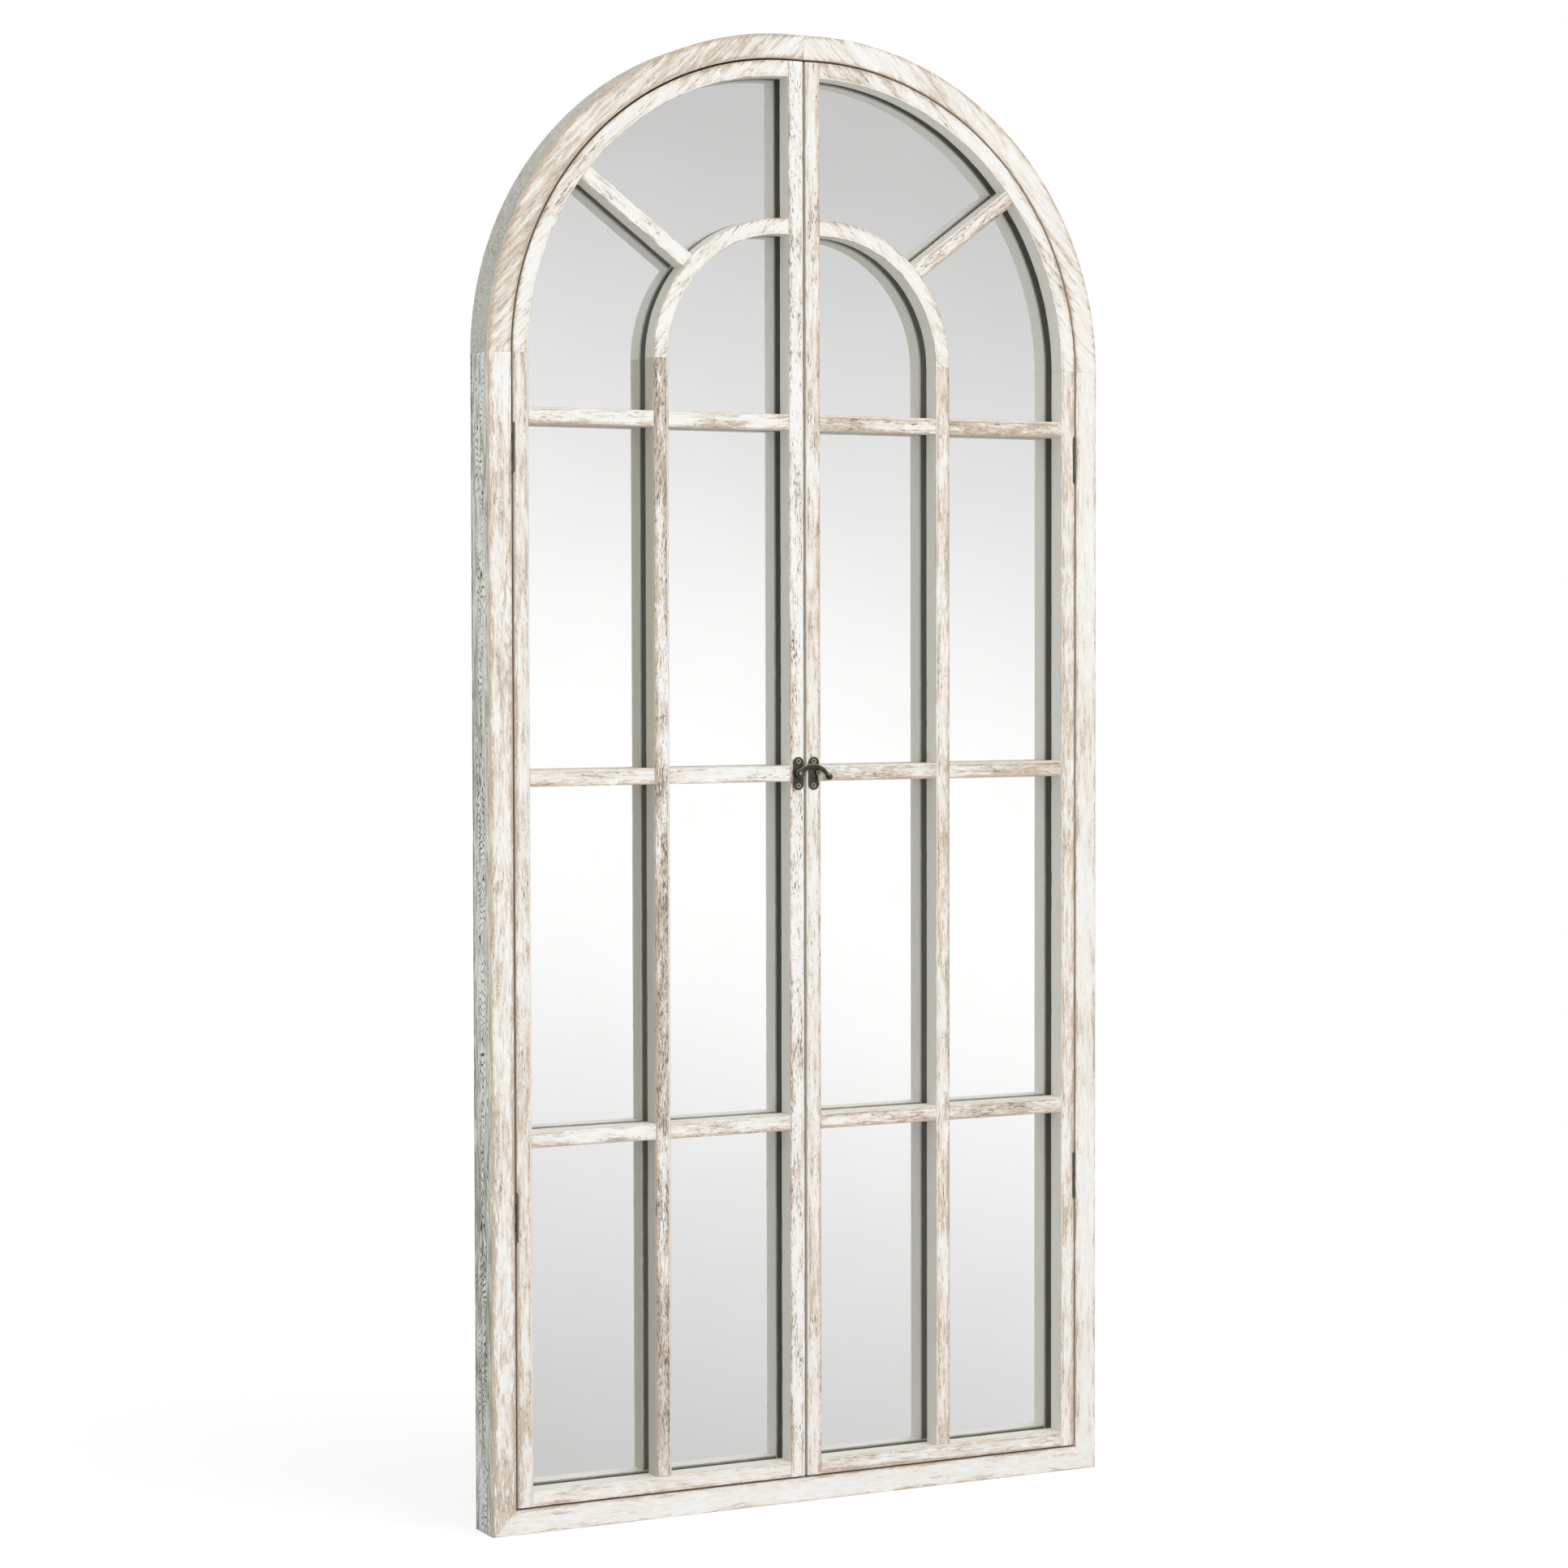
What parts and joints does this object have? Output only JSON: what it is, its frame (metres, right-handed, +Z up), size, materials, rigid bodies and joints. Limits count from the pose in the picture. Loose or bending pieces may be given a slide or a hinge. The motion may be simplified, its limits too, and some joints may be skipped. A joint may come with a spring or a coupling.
{
  "type": "arched full-length mirror",
  "caption": "Tall arched mirror in a worn white wooden frame, with hinged window-style doors of open glazing bars in front of the glass, shut by a swinging hook latch.",
  "frame": {"origin": "middle of the frame's underside, halfway through its depth", "axes": "+Z up, +X to the right as seen from the front, +Y from the front towards the wall"},
  "size_m": [0.73, 0.0563, 1.5705],
  "materials": {
    "worn_painted_pine": "matt warm white paint rubbed back to tan wood along edges and grain",
    "beech_dowel": "bare turned wood, hidden in the joints",
    "brown_hardboard": "smooth matt pressed board",
    "silvered_mirror": "clear float glass, silvered on the back",
    "dark_iron": "dark bronze finish, rubbed lighter on edges",
    "screw_steel": "dull bronzed steel",
    "zinc_plated_steel": "dull zinc plate"
  },
  "bodies": {
    "frame": {"backing_board": "brown_hardboard", "backing_screws": "screw_steel", "frame_bottom_rail": "worn_painted_pine", "frame_dowels": "beech_dowel", "frame_left_arch": "worn_painted_pine", "frame_left_stile": "worn_painted_pine", "frame_right_arch": "worn_painted_pine", "frame_right_stile": "worn_painted_pine", "hanger_screws": "screw_steel", "hinge_frame_screws": "screw_steel", "left_hanger_plate": "zinc_plated_steel", "lower_left_hinge_frame_leaf": "dark_iron", "lower_left_hinge_pin": "dark_iron", "lower_right_hinge_frame_leaf": "dark_iron", "lower_right_hinge_pin": "dark_iron", "mirror_glass": "silvered_mirror", "right_hanger_plate": "zinc_plated_steel", "upper_left_hinge_frame_leaf": "dark_iron", "upper_left_hinge_pin": "dark_iron", "upper_right_hinge_frame_leaf": "dark_iron", "upper_right_hinge_pin": "dark_iron"},
    "left_door": {"hook_plate": "dark_iron", "hook_plate_screws": "screw_steel", "hook_rivet": "dark_iron", "left_door_arch_head": "worn_painted_pine", "left_door_bottom_rail": "worn_painted_pine", "left_door_hinge_screws": "screw_steel", "left_door_inner_arch": "worn_painted_pine", "left_door_lower_inner_bar": "worn_painted_pine", "left_door_lower_outer_bar": "worn_painted_pine", "left_door_meeting_stile": "worn_painted_pine", "left_door_middle_inner_bar": "worn_painted_pine", "left_door_middle_outer_bar": "worn_painted_pine", "left_door_muntin": "worn_painted_pine", "left_door_outer_stile": "worn_painted_pine", "left_door_spoke": "worn_painted_pine", "left_door_upper_inner_bar": "worn_painted_pine", "left_door_upper_outer_bar": "worn_painted_pine", "lower_left_hinge_door_leaf": "dark_iron", "upper_left_hinge_door_leaf": "dark_iron"},
    "right_door": {"catch_plate": "dark_iron", "catch_plate_screws": "screw_steel", "lower_right_hinge_door_leaf": "dark_iron", "right_door_arch_head": "worn_painted_pine", "right_door_bottom_rail": "worn_painted_pine", "right_door_hinge_screws": "screw_steel", "right_door_inner_arch": "worn_painted_pine", "right_door_lower_inner_bar": "worn_painted_pine", "right_door_lower_outer_bar": "worn_painted_pine", "right_door_meeting_stile": "worn_painted_pine", "right_door_middle_inner_bar": "worn_painted_pine", "right_door_middle_outer_bar": "worn_painted_pine", "right_door_muntin": "worn_painted_pine", "right_door_outer_stile": "worn_painted_pine", "right_door_spoke": "worn_painted_pine", "right_door_upper_inner_bar": "worn_painted_pine", "right_door_upper_outer_bar": "worn_painted_pine", "upper_right_hinge_door_leaf": "dark_iron"},
    "hook": {"latch_hook": "dark_iron"}
  },
  "joints": [
    {"name": "left_door_swing", "type": "hinge", "parent": "frame", "child": "left_door", "pos_m": [-0.3372, -0.02415, 0.78543], "axis": [0, 0, -1], "range_deg": [0, 170]},
    {"name": "right_door_swing", "type": "hinge", "parent": "frame", "child": "right_door", "pos_m": [0.3372, -0.02415, 0.78543], "axis": [0, 0, 1], "range_deg": [0, 170]},
    {"name": "hook_lift", "type": "hinge", "parent": "left_door", "child": "hook", "pos_m": [-0.0085, -0.02685, 0.78543], "axis": [0, -1, 0], "range_deg": [0, 100]}
  ]
}
